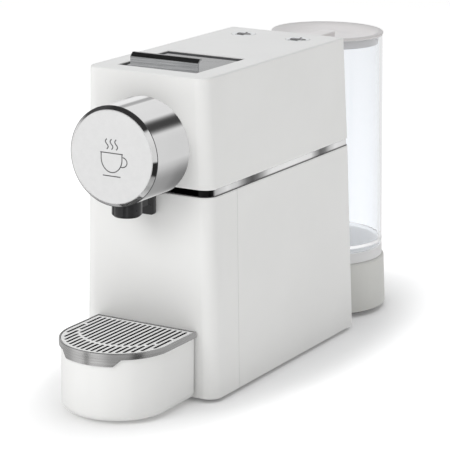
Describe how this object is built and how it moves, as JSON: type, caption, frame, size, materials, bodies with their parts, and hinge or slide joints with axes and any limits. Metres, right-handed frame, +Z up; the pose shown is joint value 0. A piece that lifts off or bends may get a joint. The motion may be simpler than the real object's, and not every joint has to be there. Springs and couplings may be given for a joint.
{
  "type": "pod coffee machine",
  "caption": "Slim white pod coffee machine with chrome brew head, top lever, pull-out drip tray with pod bin and lift-off rear water tank.",
  "frame": {"origin": "centre of the bounding box footprint, on the surface the feet stand on", "axes": "+Z up, -Y towards the user (brew head and drip tray), +Y towards the water tank, +X to the right seen from the front"},
  "size_m": [0.119, 0.4306, 0.2582],
  "materials": {
    "white_shell": "satin moulded plastic",
    "white_button": "satin moulded plastic with a small printed cup outline",
    "chrome": "polished",
    "brushed_face": "fine satin",
    "brushed_steel": "brushed",
    "rim_steel": "satin",
    "pale_grey": "satin",
    "clear_plastic": "clear moulded plastic",
    "black_plastic": "satin",
    "dark_plastic": "matt",
    "rubber": "matt",
    "steel": "plain",
    "cast_alloy": "as cast",
    "copper_coil": "wound coil in a moulded case",
    "pale_plastic": "plain",
    "silicone": "translucent silicone",
    "circuit_board": "printed board"
  },
  "bodies": {
    "chassis": {"base_plate": "dark_plastic", "base_screws": "steel", "bezel_ring": "chrome", "brew_chamber": "cast_alloy", "cable_gland": "dark_plastic", "chamber_gasket": "rubber", "chrome_band": "chrome", "chrome_sleeve": "chrome", "coffee_trough": "dark_plastic", "control_board": "circuit_board", "deck_plate": "steel", "dock_base": "pale_grey", "dock_seal": "rubber", "dock_socket": "dark_plastic", "face_disc": "brushed_face", "flow_meter": "pale_plastic", "foot_front_left": "rubber", "foot_front_right": "rubber", "foot_rear_left": "rubber", "foot_rear_right": "rubber", "frame_legs": "steel", "front_cover": "white_shell", "heating_element": "steel", "hinge_pin": "steel", "hose_pump_to_boiler": "silicone", "hot_water_pipe": "steel", "inlet_hoses": "silicone", "lever_well": "dark_plastic", "lower_shell": "white_shell", "mechanism_frame": "steel", "micro_switches": "dark_plastic", "pod_chute": "dark_plastic", "pump_body": "dark_plastic", "pump_brackets": "steel", "pump_coil": "copper_coil", "pump_mounts": "rubber", "spout_bracket": "black_plastic", "spout_nozzle": "black_plastic", "spring_long": "steel", "spring_short": "steel", "thermoblock": "cast_alloy", "upper_shell": "white_shell"},
    "lever": {"lever_plate": "brushed_steel", "lever_arms": "dark_plastic", "crank_pin": "steel"},
    "piston": {"brew_piston": "cast_alloy", "piston_carriage": "dark_plastic", "tie_rods": "steel"},
    "short_button": {"button_short": "white_button"},
    "long_button": {"button_long": "white_button"},
    "drawer": {"tray_base": "white_shell", "tray_rim": "rim_steel", "pod_bin": "dark_plastic"},
    "grille": {"drip_grille": "brushed_steel"},
    "tank": {"tank_vessel": "clear_plastic", "tank_foot": "pale_grey"},
    "lid": {"tank_lid": "pale_grey"},
    "plunger": {"valve_plunger": "dark_plastic"},
    "pump_armature": {"pump_piston": "steel"},
    "flow_wheel": {"flow_rotor": "dark_plastic"}
  },
  "joints": [
    {"name": "lever_lift", "type": "hinge", "parent": "chassis", "child": "lever", "pos_m": [0, -0.0513, 0.2425], "axis": [-1, 0, 0], "range_deg": [0, 80]},
    {"name": "piston_slide", "type": "slide", "parent": "chassis", "child": "piston", "axis": [0, -1, 0], "range_m": [0, 0.0161]},
    {"name": "short_press", "type": "slide", "parent": "chassis", "child": "short_button", "axis": [0, 0, -1], "range_m": [0, 0.0015], "stiffness_N_per_m": 400, "springref_m": -0.001, "deforming": ["spring_short"]},
    {"name": "long_press", "type": "slide", "parent": "chassis", "child": "long_button", "axis": [0, 0, -1], "range_m": [0, 0.0015], "stiffness_N_per_m": 400, "springref_m": -0.001, "deforming": ["spring_long"]},
    {"name": "drawer_pull", "type": "slide", "parent": "chassis", "child": "drawer", "axis": [0, -1, 0], "range_m": [0, 0.12]},
    {"name": "grille_lift", "type": "slide", "parent": "drawer", "child": "grille", "axis": [0, 0, 1], "range_m": [0, 0.04]},
    {"name": "tank_lift", "type": "slide", "parent": "chassis", "child": "tank", "axis": [0, 0, 1], "range_m": [0, 0.07]},
    {"name": "lid_lift", "type": "slide", "parent": "tank", "child": "lid", "axis": [0, 0, 1], "range_m": [0, 0.05]},
    {"name": "valve_close", "type": "slide", "parent": "tank", "child": "plunger", "axis": [0, 0, -1], "range_m": [0, 0.0019]},
    {"name": "pump_stroke", "type": "slide", "parent": "chassis", "child": "pump_armature", "axis": [0, 1, 0], "range_m": [0, 0.004]},
    {"name": "flow_spin", "type": "hinge", "parent": "chassis", "child": "flow_wheel", "pos_m": [0, 0.0757, 0.02], "axis": [0, 0, 1], "continuous": true}
  ],
  "couplings": [
    {"joint": "piston_slide", "follows": "lever_lift", "m_per_rad": 0.011459},
    {"joint": "valve_close", "follows": "tank_lift", "ratio": 0.025714}
  ]
}
